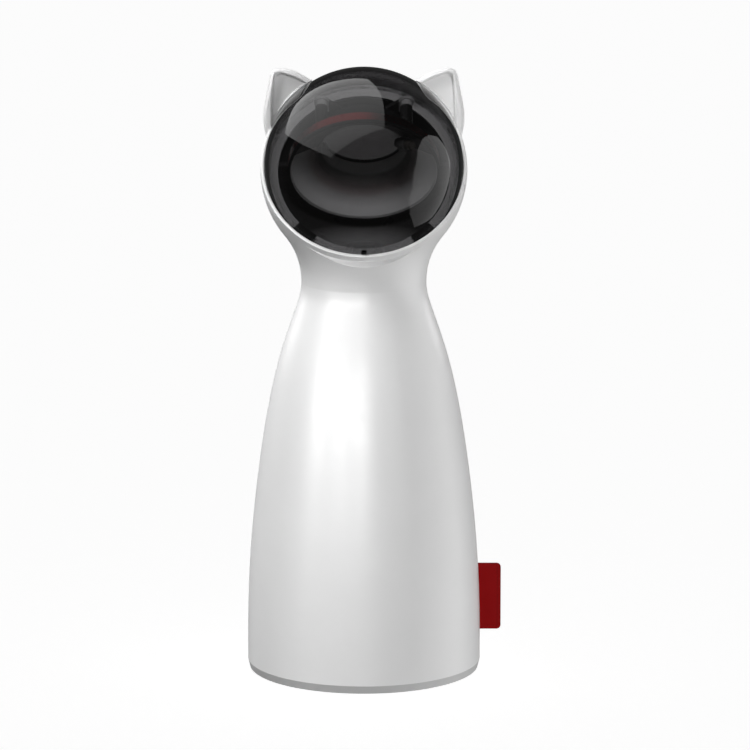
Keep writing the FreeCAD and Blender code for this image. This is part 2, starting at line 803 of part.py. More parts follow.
def mirror_rotor():
    """Tilted mirror carrier, drive gear and hub in one moulding."""
    carrier = cylinder(carrier_r, -gear_depth, -mirror_depth + mirror_t * 3)
    top = block(-FAR, FAR, -FAR, FAR, -mirror_t, FAR)
    top.rotate(V(0, 0, 0), X_AXIS, mirror_tilt)
    top.translate(V(0, 0, -mirror_depth))
    gear = spur_gear(gear_teeth, gear_depth, gear_face, -90)
    hub = cylinder(hub_r, -bracket_back - hub_tail, -gear_depth - gear_face)
    rotor = fused([carrier.cut(top), gear, hub])
    groove_low = -bracket_back - clip_gap - clip_t - 2 * clip_play
    groove = tube(hub_r + 1, hub_r - clip_bite, groove_low, -bracket_back - clip_gap)
    return rotor.cut(groove)


def rotor_clip():
    """Split ring that snaps into the hub's groove."""
    high = -bracket_back - clip_gap - clip_play
    ring = tube(hub_r + clip_w, hub_r - clip_bite + clip_play, high - clip_t, high)
    return ring.cut(block(-clip_split / 2, clip_split / 2, 0, FAR, -FAR, 0))


def gear_bracket():
    """Plate behind the gears: bearing for the hub, seat for the motor, four lugs."""
    back, front = -bracket_back, -bracket_front
    motor_seat_r = motor_r + collar_wall
    shapes = [cylinder(hub_r + bearing_wall, back, front)]
    for angle, spot in zip(post_angles, post_spots()):
        shapes.append(cylinder(post_r + lug_wall, back, front, spot))
        arm = block(0, post_circle_r, -arm_w / 2, arm_w / 2, back, front)
        arm.rotate(V(0, 0, 0), Z_AXIS, angle)
        shapes.append(arm)
    shapes.append(cylinder(motor_seat_r, back, front, pinion_spot))
    shapes.append(block(-motor_r / 2, motor_r / 2, pinion_spot.y, 0, back, front))
    shapes.append(tube(motor_seat_r, motor_r + running_gap, back - collar_h, back,
                       pinion_spot))
    plate = fused(shapes)
    plate = plate.cut(cylinder(hub_r + running_gap, -FAR, 0))
    plate = plate.cut(cylinder(motor_shaft_r + shaft_clear, -FAR, 0, pinion_spot))
    for spot in post_spots():
        plate = plate.cut(cylinder(small_screw_r + flat_gap, -FAR, 0, spot))
    return plate


def bracket_screws():
    one = screw(small_screw_r, small_head_r, small_head_h, bracket_t + bracket_screw_bite)
    behind = V(0, 0, -bracket_back)
    return [placed(one, FreeCAD.Placement(spot + behind, FreeCAD.Rotation()))
            for spot in post_spots()]


def motor():
    """Motor can with a stepped rear cap and the bore that its shaft runs in."""
    back = -bracket_back - motor_len
    can = cylinder(motor_r, back, -bracket_back, pinion_spot)
    cap = cylinder(motor_r * motor_cap_share, back - motor_cap_h, back, pinion_spot)
    bore = cylinder(motor_shaft_r + running_gap, -bracket_back - shaft_in - flat_gap, 0,
                    pinion_spot)
    return can.fuse(cap).removeSplitter().cut(bore)


def motor_shaft():
    return cylinder(motor_shaft_r, -bracket_back - shaft_in, -gear_depth, pinion_spot)


def motor_pinion():
    """Pinion on the motor's shaft, a tooth gap turned towards the drive gear."""
    pinion = spur_gear(pinion_teeth, gear_depth, gear_face, 90 + 180 / pinion_teeth)
    pinion.translate(pinion_spot)
    return pinion.cut(cylinder(motor_shaft_r + 0.01, -FAR, 0, pinion_spot))


def laser_module():
    """Brass barrel with a stepped mouth and a small tail board."""
    barrel = along_laser(laser_r, laser_reach, laser_len)
    mouth_hole = along_laser(laser_mouth_r, laser_reach - 1, lens_depth + lens_t + 1)
    tail = along_laser(laser_mouth_r, laser_reach + laser_len, laser_tail)
    return barrel.cut(mouth_hole).fuse(tail).removeSplitter()


def laser_lens():
    return along_laser(laser_mouth_r - running_gap, laser_reach + lens_depth, lens_t)


# ----------------------------------------------------------------- electronics
def circuit_board():
    board = block(-board_w / 2, board_w / 2, board_y, board_back,
                  button_z - board_below, button_z + board_above)
    for x, z in board_holes():
        board = board.cut(rod_y(small_screw_r + flat_gap, 0, FAR, x, z))
    return board


def board_screws():
    one = screw(small_screw_r, small_head_r, small_head_h, board_t + board_screw_bite)
    turn = FreeCAD.Rotation(X_AXIS, -90)
    return [placed(one, FreeCAD.Placement(V(x, board_y, z), turn))
            for x, z in board_holes()]


def tact_switch():
    side = switch_side / 2
    top = board_back + switch_h
    case = block(-side, side, board_back, top, button_z - side, button_z + side)
    stem = rod_y(switch_stem_r, top, top + switch_stem_h, 0, button_z)
    return case.fuse(stem).removeSplitter()


def mode_button():
    """Round push cap with an inner collar and a stem that reaches the switch."""
    face_y = body_radius(button_z) + button_proud
    collar_z = button_z + button_r + button_collar + 1
    collar_y = body_radius(collar_z) - wall - button_travel - button_collar_t - head_play
    cap = rod_y(button_r, collar_y, face_y, 0, button_z)
    cap = cap.makeFillet(button_round, [e for e in cap.Edges
                                        if e.BoundBox.YMin > face_y - 0.01])
    collar = rod_y(button_r + button_collar, collar_y, collar_y + button_collar_t,
                   0, button_z)
    tip = board_back + switch_h + switch_stem_h + button_travel + flat_gap
    stem = rod_y(switch_stem_r, tip, collar_y, 0, button_z)
    return fused([cap, collar, stem])


def status_led():
    can = rod_y(led_r, board_back, board_back + led_len, 0, led_z)
    dome = Part.makeSphere(led_r, V(0, board_back + led_len, led_z))
    return can.fuse(dome).removeSplitter()


def light_pipe():
    """Clear rod from the lamp to the outside of the shell."""
    start = board_back + led_len + led_r + flat_gap
    return rod_y(led_r, start, body_radius(led_z) + 2 * flat_gap, 0, led_z)


def charge_board():
    return block(-inlet_board_w / 2, inlet_board_w / 2, inlet_board_y,
                 inlet_board_y + inlet_board_len, inlet_board_z, inlet_low)


def usb_socket():
    """Metal shell of the power inlet with its tongue."""
    half = inlet_w / 2
    high = inlet_low + inlet_h
    case = block(-half, half, inlet_back, inlet_back + inlet_len, inlet_low, high)
    hollow = block(-half + inlet_wall, half - inlet_wall, inlet_back + 1, FAR,
                   inlet_low + inlet_wall, high - inlet_wall)
    middle = inlet_low + inlet_h / 2
    tongue_half = half * inlet_tongue_share
    tongue = block(-tongue_half, tongue_half, inlet_back + inlet_wall,
                   inlet_back + inlet_len - 1, middle, middle + inlet_tongue_t)
    return case.cut(hollow).fuse(tongue)


def rear_openings():
    """Holes of the rear shell: mode button, light pipe and power inlet."""
    inside = board_back + switch_h
    return [
        rod_y(button_r + button_play, inside, FAR, 0, button_z),
        rod_y(led_r + running_gap, inside, FAR, 0, led_z),
        block(-inlet_w / 2 - inlet_play, inlet_w / 2 + inlet_play, inlet_back, FAR,
              inlet_low - inlet_play, inlet_low + inlet_h + inlet_play),
    ]


# --------------------------------------------------------------------------- build
outer = body_solid(0, seam_z)
board_y = body_radius(button_z) - board_inset
board_back = board_y + board_t
inner = body_solid(wall, seam_z - 1)
blank = shell_blank()
rear = half_shell(blank, 1)
for hole in rear_openings():
    rear = rear.cut(hole)

in_scanner = {
    "scanner_cup": scanner_cup(),
    "red_ring": red_ring(),
    "mirror_disc": mirror_disc(),
    "mirror_rotor": mirror_rotor(),
    "rotor_clip": rotor_clip(),
    "gear_bracket": gear_bracket(),
    "bracket_screws": bracket_screws(),
    "drive_motor": motor(),
    "motor_shaft": motor_shaft(),
    "motor_pinion": motor_pinion(),
    "laser_module": laser_module(),
    "laser_lens": laser_lens(),
}

nodes = {
    "front_shell": half_shell(blank, -1),
    "rear_shell": rear,
    "side_tag": side_tag(),
    "base_plate": base_plate(),
    "rubber_feet": rubber_feet(),
    "base_screws": base_screws(),
    "shell_screws": shell_screws(),
    "battery_door": battery_door(),
    "door_contacts": door_contacts(),
    "top_contacts": top_contacts(),
    "battery_holder": battery_holder(),
    "battery_cells": battery_cells(),
    "dome_window": dome_window(),
    "bezel_ring": bezel_ring(),
    "liner_bowl": liner_bowl(),
    "circuit_board": circuit_board(),
    "board_screws": board_screws(),
    "tact_switch": tact_switch(),
    "mode_button": mode_button(),
    "status_led": status_led(),
    "light_pipe": light_pipe(),
    "charge_board": charge_board(),
    "usb_socket": usb_socket(),
}
for name, shape in in_scanner.items():
    if isinstance(shape, list):
        nodes[name] = [placed(piece, scan) for piece in shape]
    else:
        nodes[name] = placed(shape, scan)

os.makedirs("parts", exist_ok=True)
for name, shape in nodes.items():
    if isinstance(shape, list):
        shape = Part.makeCompound(shape)
    shape.exportStep("parts/" + name + ".step")
    solids = len(shape.Solids)
    print(name, "solids", solids, "valid", shape.isValid(), "volume", round(shape.Volume, 1))
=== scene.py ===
import bmesh
import bpy
import json
import math
import numpy as np
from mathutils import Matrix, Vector


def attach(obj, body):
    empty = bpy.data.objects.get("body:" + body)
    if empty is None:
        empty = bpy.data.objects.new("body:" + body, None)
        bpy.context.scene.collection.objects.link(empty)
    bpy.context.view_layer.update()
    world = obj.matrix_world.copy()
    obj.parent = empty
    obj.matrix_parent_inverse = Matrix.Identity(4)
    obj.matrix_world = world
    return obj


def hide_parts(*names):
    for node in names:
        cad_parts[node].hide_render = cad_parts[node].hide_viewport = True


# Looks of the automatic cat laser toy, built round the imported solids.  Metres, +Z up,
# the toy's front towards -Y.

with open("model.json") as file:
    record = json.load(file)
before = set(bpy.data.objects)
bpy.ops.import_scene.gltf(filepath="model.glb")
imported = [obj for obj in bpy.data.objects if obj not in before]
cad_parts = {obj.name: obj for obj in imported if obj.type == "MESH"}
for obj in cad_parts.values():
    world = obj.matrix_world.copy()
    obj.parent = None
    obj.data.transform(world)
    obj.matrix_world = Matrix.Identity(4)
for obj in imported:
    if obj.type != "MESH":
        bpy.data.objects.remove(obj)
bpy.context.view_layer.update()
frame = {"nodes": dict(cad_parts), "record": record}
nodes = frame["nodes"]

# ------------------------------------------------------------------ sizes of the toy
RIGHT = np.array((1.0, 0.0, 0.0))

# The head is a sphere.  Its mouth faces forward and up.
HEAD_Z = 0.1845
HEAD_R = 0.0373
HEAD = np.array((0.0, 0.0, HEAD_Z))
MOUTH_TILT = math.radians(38.0)
MOUTH_OUT = np.array((0.0, -math.cos(MOUTH_TILT), math.sin(MOUTH_TILT)))
MOUTH_UP = np.array((0.0, math.sin(MOUTH_TILT), math.cos(MOUTH_TILT)))

# The smoked dome: its centre lies DOME_RISE in front of the head's, and its rim
# DOME_SINK behind it.
DOME_RISE = 0.0024
DOME_R = 0.0358
DOME_WALL = 0.0016
DOME_SINK = 0.0020
DOME_C = HEAD + MOUTH_OUT * DOME_RISE

# The white lip round the dome reaches LIP_RISE in front of the head's centre.
LIP_RISE = 0.0033
LIP_ROUND = 0.0004
LIP_GAP = 0.00015

# The middle of each pin lies PIN_SINK under the dome's outer face.
PIN_SINK = 0.0004
PIN_HALF_DEPTH_MM = 0.7

# The black clips over the bezel's notches: distance from the mouth's axis, how far
# behind the head's centre, half width, half thickness, and how square the section is.
CLIP_R = 0.0329
CLIP_SINK = 0.0018
CLIP_HALF_WIDTH = 0.0019
CLIP_HALF_THICK = 0.0009
CLIP_POWER = 0.4

# The bead on each ear: its circle's radius, how far below the head's centre and how
# far behind it, and half its thickness.
BEAD_R = 0.0370
BEAD_DROP = 0.0005
BEAD_BACK = 0.0082
BEAD_HALF_THICK = 0.0004

# The scanner cup faces forward and down.  Its funnel narrows by FUNNEL_SLOPE times the
# depth, down to a stepped well with the mirror at its bottom.  Its posts stand on either
# side, POST_SIDE or more from the middle, and their ends begin POST_DEPTH back from the
# funnel's mouth.
SCAN_TILT = math.radians(-39.5)
SCAN_OUT = np.array((0.0, -math.cos(SCAN_TILT), math.sin(SCAN_TILT)))
SCAN_UP = np.cross(SCAN_OUT, RIGHT)
SCAN_MOUTH = HEAD + SCAN_OUT * 0.0004
FUNNEL_R = 0.0261
FUNNEL_SLOPE = 1.3
WELL_R = 0.0156
STEP_R = WELL_R + 0.0018
MIRROR_MIDDLE = SCAN_MOUTH - SCAN_OUT * 0.0162
POST_DEPTH = 0.0186
POST_SIDE = 0.0126

# The red ring lies behind the funnel's lip.  Its lamp points at a place RING_R up from
# the scanner's axis and RING_LEFT to the left.
RING_R = 0.0273
RING_LEFT = 0.0085

# A place counts as inside the funnel by its distance from an axis SHADE_DROP below the
# scanner's own, up to CONE_PLAY past the cone.
SHADE_DROP = 0.0012
CONE_PLAY = 0.0004

# The laser's line leaves the mirror's middle towards the upper right of the funnel, and
# the cup is dark round it up to LASER_HOLE_R.
LASER_LEAN = math.radians(53.0)
LASER_TURN = math.radians(40.0)
LASER_WAY = (math.cos(LASER_LEAN) * SCAN_OUT + math.sin(LASER_LEAN)
             * (math.cos(LASER_TURN) * RIGHT + math.sin(LASER_TURN) * SCAN_UP))
LASER_HOLE_R = 0.00245


# -------------------------------------------------------------------- building blocks
def placed(name, data):
    """New object at the origin, in the scene."""
    obj = bpy.data.objects.new(name, data)
    bpy.context.scene.collection.objects.link(obj)
    return obj


def grey(level):
    """Colour that is the same in red, green and blue."""
    return (level, level, level)


def blank_material(name):
    """Material with no nodes yet, and its tree."""
    mat = bpy.data.materials.new(name)
    mat.use_nodes = True
    mat.node_tree.nodes.clear()
    return mat, mat.node_tree


def feed(tree, node, inputs):
    """Gives a node its inputs: each is another node's socket, a number, a vector or a
    colour."""
    for key, value in inputs.items():
        socket = node.inputs[key]
        if isinstance(value, bpy.types.NodeSocket):
            tree.links.new(value, socket)
        elif socket.type == "RGBA":
            socket.default_value = (*value, 1.0)
        else:
            socket.default_value = value


def add_node(tree, kind, inputs):
    """New node with its inputs."""
    node = tree.nodes.new(kind)
    feed(tree, node, inputs)
    return node


def cover(tree, shader):
    """Puts a shader on the material's surface."""
    add_node(tree, "ShaderNodeOutputMaterial", {"Surface": shader})


def either(tree, share, first, second):
    """Mix of two shaders; share is how much of the second."""
    mix = add_node(tree, "ShaderNodeMixShader", {0: share, 1: first, 2: second})
    return mix.outputs[0]


def own_place(tree):
    """Place in the piece's own coordinates."""
    return tree.nodes.new("ShaderNodeTexCoord").outputs["Object"]


def plain_math(tree, operation, *values):
    """Result of a calculation on numbers and sockets."""
    node = tree.nodes.new("ShaderNodeMath")
    node.operation = operation
    feed(tree, node, dict(enumerate(values)))
    return node.outputs[0]


def vector_math(tree, operation, first, second=(0.0, 0.0, 0.0)):
    """Result of a calculation on a socket and a fixed vector: a number from DOT_PRODUCT
    and LENGTH, and a vector from the others."""
    node = tree.nodes.new("ShaderNodeVectorMath")
    node.operation = operation
    feed(tree, node, {0: first, 1: tuple(second)})
    return node.outputs["Value" if operation in ("DOT_PRODUCT", "LENGTH") else "Vector"]


def noise(tree, scale, detail=3.0):
    """Noise on the piece's own coordinates; scale is in features per metre."""
    tex = add_node(tree, "ShaderNodeTexNoise",
                   {"Vector": own_place(tree), "Scale": scale, "Detail": detail})
    return tex.outputs["Fac"]


# Nearly all of a noise lies between these two values.
NOISE_LOW = 0.3
NOISE_HIGH = 0.7


def ranged(tree, value, low, high, start=NOISE_LOW, end=NOISE_HIGH):
    """A value between start and end, stretched to lie between low and high."""
    span = add_node(tree, "ShaderNodeMapRange", {
        "Value": value, "From Min": start, "From Max": end, "To Min": low, "To Max": high})
    return span.outputs["Result"]


def ramp(tree, value, stops):
    """Colour by a value from 0 to 1; each stop is (value, colour)."""
    node = add_node(tree, "ShaderNodeValToRGB", {"Fac": value})
    places = node.color_ramp.elements
    while len(places) > 1:
        places.remove(places[-1])
    places[0].position = stops[0][0]
    places[0].color = (*stops[0][1], 1)
    for at, colour in stops[1:]:
        places.new(at).color = (*colour, 1)
    return node.outputs["Color"]


def tinted(tree, value, dark, light):
    """Colour between dark and light, driven by a noise."""
    return ramp(tree, value, ((NOISE_LOW, dark), (NOISE_HIGH, light)))


def ramped(tree, value, low, high, stops):
    """Colour by a value between low and high; each stop is (value, colour)."""
    shares = [((at - low) / (high - low), colour) for at, colour in stops]
    return ramp(tree, ranged(tree, value, 0.0, 1.0, low, high), shares)


# Sockets of the Mix node that take and give colours.
MIX_SHARE = 0
MIX_FIRST = 6
MIX_SECOND = 7
MIX_RESULT = 2


def mixed(tree, share, first, second, blend="MIX"):
    """Mix of two colours; share is how much of the second."""
    mix = tree.nodes.new("ShaderNodeMix")
    mix.data_type = "RGBA"
    mix.blend_type = blend
    feed(tree, mix, {MIX_SHARE: share, MIX_FIRST: first, MIX_SECOND: second})
    return mix.outputs[MIX_RESULT]


# ------------------------------------------------------------------- camera and stage
CAMERA_PLACE = (0.0, -2.18, 0.585)
CAMERA_DIP = 12.326
LENS_MM = 295.2
SENSOR_MM = 36.0
CAMERA_SHIFT = 0.0148
FLOOR_HALF = 6.0
FLOOR_GREY = 0.3
FLOOR_GLOW = 0.97


def make_camera():
    """Long lens in front of the toy, a little above it."""
    data = bpy.data.cameras.new("camera")
    data.sensor_width = SENSOR_MM
    data.lens = LENS_MM
    data.shift_x = CAMERA_SHIFT
    cam = placed("camera", data)
    cam.location = CAMERA_PLACE
    cam.rotation_euler = (math.radians(90.0 - CAMERA_DIP), 0.0, 0.0)
    bpy.context.scene.camera = cam


def ray_switch(tree, others, reflected, seen):
    """One shader for the eye, one for reflections and one for all other rays."""
    path = tree.nodes.new("ShaderNodeLightPath")
    unseen = either(tree, path.outputs["Is Glossy Ray"], others, reflected)
    return either(tree, path.outputs["Is Camera Ray"], unseen, seen)


def make_world(fill, reflected):
    """White to the eye, and dark as a fill and in reflections."""
    world = bpy.data.worlds.new("studio")
    bpy.context.scene.world = world
    world.use_nodes = True
    tree = world.node_tree
    tree.nodes.clear()
    shades = [add_node(tree, "ShaderNodeBackground", {"Strength": strength}).outputs[0]
              for strength in (fill, reflected, 1.0)]
    add_node(tree, "ShaderNodeOutputWorld", {"Surface": ray_switch(tree, *shades)})


def make_floor(bounce):
    """Pale floor that lights the toy from below and leaves reflections to the world."""
    mesh = bpy.data.meshes.new("floor")
    far = FLOOR_HALF
    mesh.from_pydata([(-far, -far, 0), (far, -far, 0), (far, far, 0), (-far, far, 0)],
                     [], [(0, 1, 2, 3)])
    floor = placed("floor", mesh)
    mat, tree = blank_material("floor")
    dim, bright = [add_node(tree, "ShaderNodeEmission", {"Strength": strength}).outputs[0]
                   for strength in (bounce, FLOOR_GLOW)]
    paint = add_node(tree, "ShaderNodeBsdfDiffuse", {"Color": grey(FLOOR_GREY)})
    both = add_node(tree, "ShaderNodeAddShader", {0: paint.outputs[0], 1: bright})
    cover(tree, ray_switch(tree, dim, dim, both.outputs[0]))
    mesh.materials.append(mat)
    floor.visible_glossy = False
    floor.visible_shadow = False


# ------------------------------------------------------------------------------ lamps
# Distances in metres, and the place that the lamps for the shells point at.
LOOK_AT = (0.0, 0.0, 0.12)
DOME_PANEL_AWAY = 2.0
SHELL_LAMP_AWAY = 2.0
HEAD_LAMP_AWAY = 1.4
RING_LAMP_AWAY = 0.5


def aim(obj, place, target):
    """Puts a lamp at a place and turns it towards its target."""
    obj.location = place
    way = Vector(target) - Vector(place)
    obj.rotation_euler = way.to_track_quat("-Z", "Y").to_euler()


def around(azimuth, elevation, distance, target):
    """Place at a distance from the target; azimuth 0 is in front, 90 at the right."""
    a, e = math.radians(azimuth), math.radians(elevation)
    return (target[0] + distance * math.cos(e) * math.sin(a),
            target[1] - distance * math.cos(e) * math.cos(a),
            target[2] + distance * math.sin(e))


def panel_light(name, place, target, size, power, group, highlight=False):
    """Square studio light that faces its target and lights one group of pieces.  It
    gives only soft light, or where highlight is true, only a highlight."""
    data = bpy.data.lights.new(name, "AREA")
    data.shape = "SQUARE"
    data.size = size
    data.energy = power
    lamp = placed(name, data)
    aim(lamp, place, target)
    lamp.visible_camera = False
    lamp.visible_diffuse = not highlight
    lamp.visible_glossy = highlight
    lamp.visible_transmission = False
    lamp.light_linking.receiver_collection = group


def lit_group(name, pieces):
    """Named group of pieces that a lamp is kept to."""
    group = bpy.data.collections.new(name)
    for piece in pieces:
        group.objects.link(piece)
    return group


def seen_in_dome(outline, distance):
    """Corners of a panel whose mirror image in the dome has the given outline.

    Each outline place (x, y) is a share of the dome's radius to the right and up from
    the dome's centre, as the camera sees it.  The dome's normal there is x right, y up
    and the rest towards the camera; the corner lies along the view mirrored in it."""
    eye = np.array(CAMERA_PLACE)
    view = (DOME_C - eye) / np.linalg.norm(DOME_C - eye)
    up = np.cross(RIGHT, view)
    depth = np.sqrt(1 - (outline ** 2).sum(axis=1))
    normal = outline[:, :1] * RIGHT + outline[:, 1:] * up - depth[:, None] * view
    back = view + 2 * depth[:, None] * normal
    return DOME_C + DOME_R * normal + distance * back


def dome_softbox(name, outline, low, high):
    """Glowing panel that shows in the dome with the given outline.

    low and high are (outline place, strength): the strength grows evenly between the
    two places, and stays as it is beyond them."""
    outline = np.array(outline)
    corners = seen_in_dome(outline, DOME_PANEL_AWAY)
    count = len(corners)
    points = np.vstack([corners, corners.mean(axis=0)])
    mesh = bpy.data.meshes.new(name)
    mesh.from_pydata(points.tolist(), [],
                     [(k, (k + 1) % count, count) for k in range(count)])
    panel = placed(name, mesh)
    spots = np.vstack([outline, outline.mean(axis=0)])
    start, end = np.array(low[0]), np.array(high[0])
    share = np.clip((spots - start) @ (end - start) / ((end - start) @ (end - start)), 0, 1)
    strength = low[1] + share * (high[1] - low[1])
    glow_at = mesh.attributes.new("glow", "FLOAT", "POINT")
    glow_at.data.foreach_set("value", strength.astype(np.float32))
    mat, tree = blank_material(name)
    level = tree.nodes.new("ShaderNodeAttribute")
    level.attribute_name = "glow"
    glow = add_node(tree, "ShaderNodeEmission", {"Strength": level.outputs["Fac"]})
    cover(tree, glow.outputs[0])
    mesh.materials.append(mat)
    panel.visible_camera = False
    panel.visible_diffuse = False
    panel.visible_shadow = False
    panel.visible_transmission = False


# --------------------------------------------------------------------------- finishes
MOTTLE_SCALE = 60.0
GLOSS_SCALE = 220.0
POLISHED_FACE_ON = 0.04


def moulded(name, colour, rough, mottle, grain=1500.0, depth=0.00001, spread=0.04,
            metal=0.0, specular=0.5):
    """Moulded or cast finish: faint mottling, uneven gloss and a fine surface grain.

    The colour varies by the share mottle and the roughness by spread, both ways.  grain
    is in features per metre, and depth is how deep it goes, in metres."""
    mat, tree = blank_material(name)
    dark = tuple(c * (1 - mottle) for c in colour)
    light = tuple(min(1.0, c * (1 + mottle)) for c in colour)
    uneven = ranged(tree, noise(tree, GLOSS_SCALE), rough - spread, rough + spread)
    bump = add_node(tree, "ShaderNodeBump",
                    {"Height": noise(tree, grain, detail=2.0), "Distance": depth})
    skin = add_node(tree, "ShaderNodeBsdfPrincipled", {
        "Base Color": tinted(tree, noise(tree, MOTTLE_SCALE), dark, light),
        "Roughness": uneven, "Normal": bump.outputs["Normal"],
        "Metallic": metal, "Specular IOR Level": specular})
    cover(tree, skin.outputs[0])
    return mat


def painted(mat, shade):
    """Gives a white moulded finish a colour that changes with the place, and keeps its
    mottling."""
    tree = mat.node_tree
    skin = next(n for n in tree.nodes if n.type == "BSDF_PRINCIPLED")
    mottling = skin.inputs["Base Color"].links[0].from_socket
    feed(tree, skin, {"Base Color": mixed(tree, 1.0, shade, mottling, "MULTIPLY")})


def far_to_side(tree, place):
    """1 at the posts and lugs on either side of the scanner, 0 between them."""
    across = vector_math(tree, "DOT_PRODUCT", place, RIGHT)
    return plain_math(tree, "GREATER_THAN", plain_math(tree, "ABSOLUTE", across), POST_SIDE)


def along_scanner(tree, place):
    """How far a place lies back from the funnel's mouth, and how far from an axis that
    is a little below the scanner's own."""
    middle = SCAN_MOUTH - SHADE_DROP * SCAN_UP
    from_mouth = vector_math(tree, "SUBTRACT", place, middle)
    depth = vector_math(tree, "DOT_PRODUCT", from_mouth, -SCAN_OUT)
    across = vector_math(tree, "CROSS_PRODUCT", from_mouth, SCAN_OUT)
    return depth, vector_math(tree, "LENGTH", across)


def scanner_two_tone_with_painted_shade(name, outside, ends, round_laser, inside, rough):
    """Black outside and round the laser, with grey rear ends to the posts.

    Inside, the colour goes by the depth, as painted shade: lighter near the funnel's mouth and
    darker deeper in, with a painted red reflection of the red ring where it darkens, and the
    well's wall painted lighter again;
    inside holds (depth, colour).  A place is inside where its reach from the axis is under the
    funnel's cone or the step's wall, whichever is larger, and it is clear of the laser's line."""
    mat = moulded(name, grey(1.0), rough, 0.03)
    tree = mat.node_tree
    place = own_place(tree)
    depth, reach = along_scanner(tree, place)
    cone = plain_math(tree, "MULTIPLY_ADD", depth, -FUNNEL_SLOPE, FUNNEL_R + CONE_PLAY)
    limit = plain_math(tree, "MAXIMUM", cone, STEP_R)
    is_within = plain_math(tree, "LESS_THAN", reach, limit)
    from_mirror = vector_math(tree, "SUBTRACT", place, MIRROR_MIDDLE)
    beside = vector_math(tree, "CROSS_PRODUCT", from_mirror, LASER_WAY)
    off_line = vector_math(tree, "LENGTH", beside)
    is_clear = plain_math(tree, "GREATER_THAN", off_line, LASER_HOLE_R)
    is_inside = plain_math(tree, "MULTIPLY", is_within, is_clear)
    at_back = plain_math(tree, "GREATER_THAN", depth, POST_DEPTH)
    is_end = plain_math(tree, "MULTIPLY", at_back, far_to_side(tree, place))
    shade = mixed(tree, is_end, outside, ends)
    shade = mixed(tree, is_clear, round_laser, shade)
    # Painted shade: inside the funnel the colour darkens with depth, with a painted red reflection
    # and a well wall painted lighter.
    shade = mixed(tree, is_inside, shade, ramped(tree, depth, 0.0, 0.02, inside))
    painted(mat, shade)
    return mat


def bracket_finish(name, middle, ends, rough):
    """Black bracket whose lug ends, far from the scanner's axis, are grey."""
    mat = moulded(name, grey(1.0), rough, 0.03)
    tree = mat.node_tree
    painted(mat, mixed(tree, far_to_side(tree, own_place(tree)), middle, ends))
    return mat


def bowl_with_painted_light(name, heights, rough):
    """Black bowl with painted light: its floor is painted greyer, as if lit from above, and it
    goes black up the sides; heights holds (height, colour).
    """
    mat = moulded(name, grey(1.0), rough, 0.04)
    tree = mat.node_tree
    height = vector_math(tree, "DOT_PRODUCT", own_place(tree), (0.0, 0.0, 1.0))
    # Painted light: lighter low on the bowl's floor, black higher up the sides.
    painted(mat, ramped(tree, height, 0.15, 0.17, heights))
    return mat


def sheen_share(tree):
    """How far a face looks away, from 0 to 1, and the share of light that it turns back
    when polished: POLISHED_FACE_ON and the rest times the fifth power of the first
    number (Schlick's rule), the same on both sides."""
    weight = add_node(tree, "ShaderNodeLayerWeight", {"Blend": 0.5})
    away = weight.outputs["Facing"]
    fifth = plain_math(tree, "POWER", away, 5.0)
    share = plain_math(tree, "MULTIPLY_ADD", fifth, 1 - POLISHED_FACE_ON, POLISHED_FACE_ON)
    return away, share


def polished(tree, tint, rough, share):
    """See-through body in a tint, with a gloss that turns back a share of the light."""
    glass = add_node(tree, "ShaderNodeBsdfTransparent", {"Color": tint})
    gloss = add_node(tree, "ShaderNodeBsdfGlossy", {"Roughness": rough})
    return either(tree, share, glass.outputs[0], gloss.outputs[0])


def see_through(name, tints, rough, shade_pass):
    """Polished see-through plastic.  tints are (how far the face looks away, colour that
    passes); shade_pass is the share of light that it lets by when it casts a shadow."""
    mat, tree = blank_material(name)
    away, share = sheen_share(tree)
    uneven = ranged(tree, noise(tree, scale=400.0, detail=4.0), rough, rough + 0.02)
    body = polished(tree, ramp(tree, away, tints), uneven, share)
    passing = add_node(tree, "ShaderNodeBsdfTransparent", {"Color": grey(shade_pass)})
    path = tree.nodes.new("ShaderNodeLightPath")
    cover(tree, either(tree, path.outputs["Is Shadow Ray"], body, passing.outputs[0]))
    return mat


def clear_part(name, colour, rough):
    """Clear resin or glass, polished, with faint streaks."""
    mat, tree = blank_material(name)
    streak = tuple(c * 0.9 for c in colour)
    tint = tinted(tree, noise(tree, scale=900.0), streak, colour)
    uneven = ranged(tree, noise(tree, scale=500.0), rough, rough + 0.05)
    share = sheen_share(tree)[1]
    cover(tree, polished(tree, tint, uneven, share))
    return mat


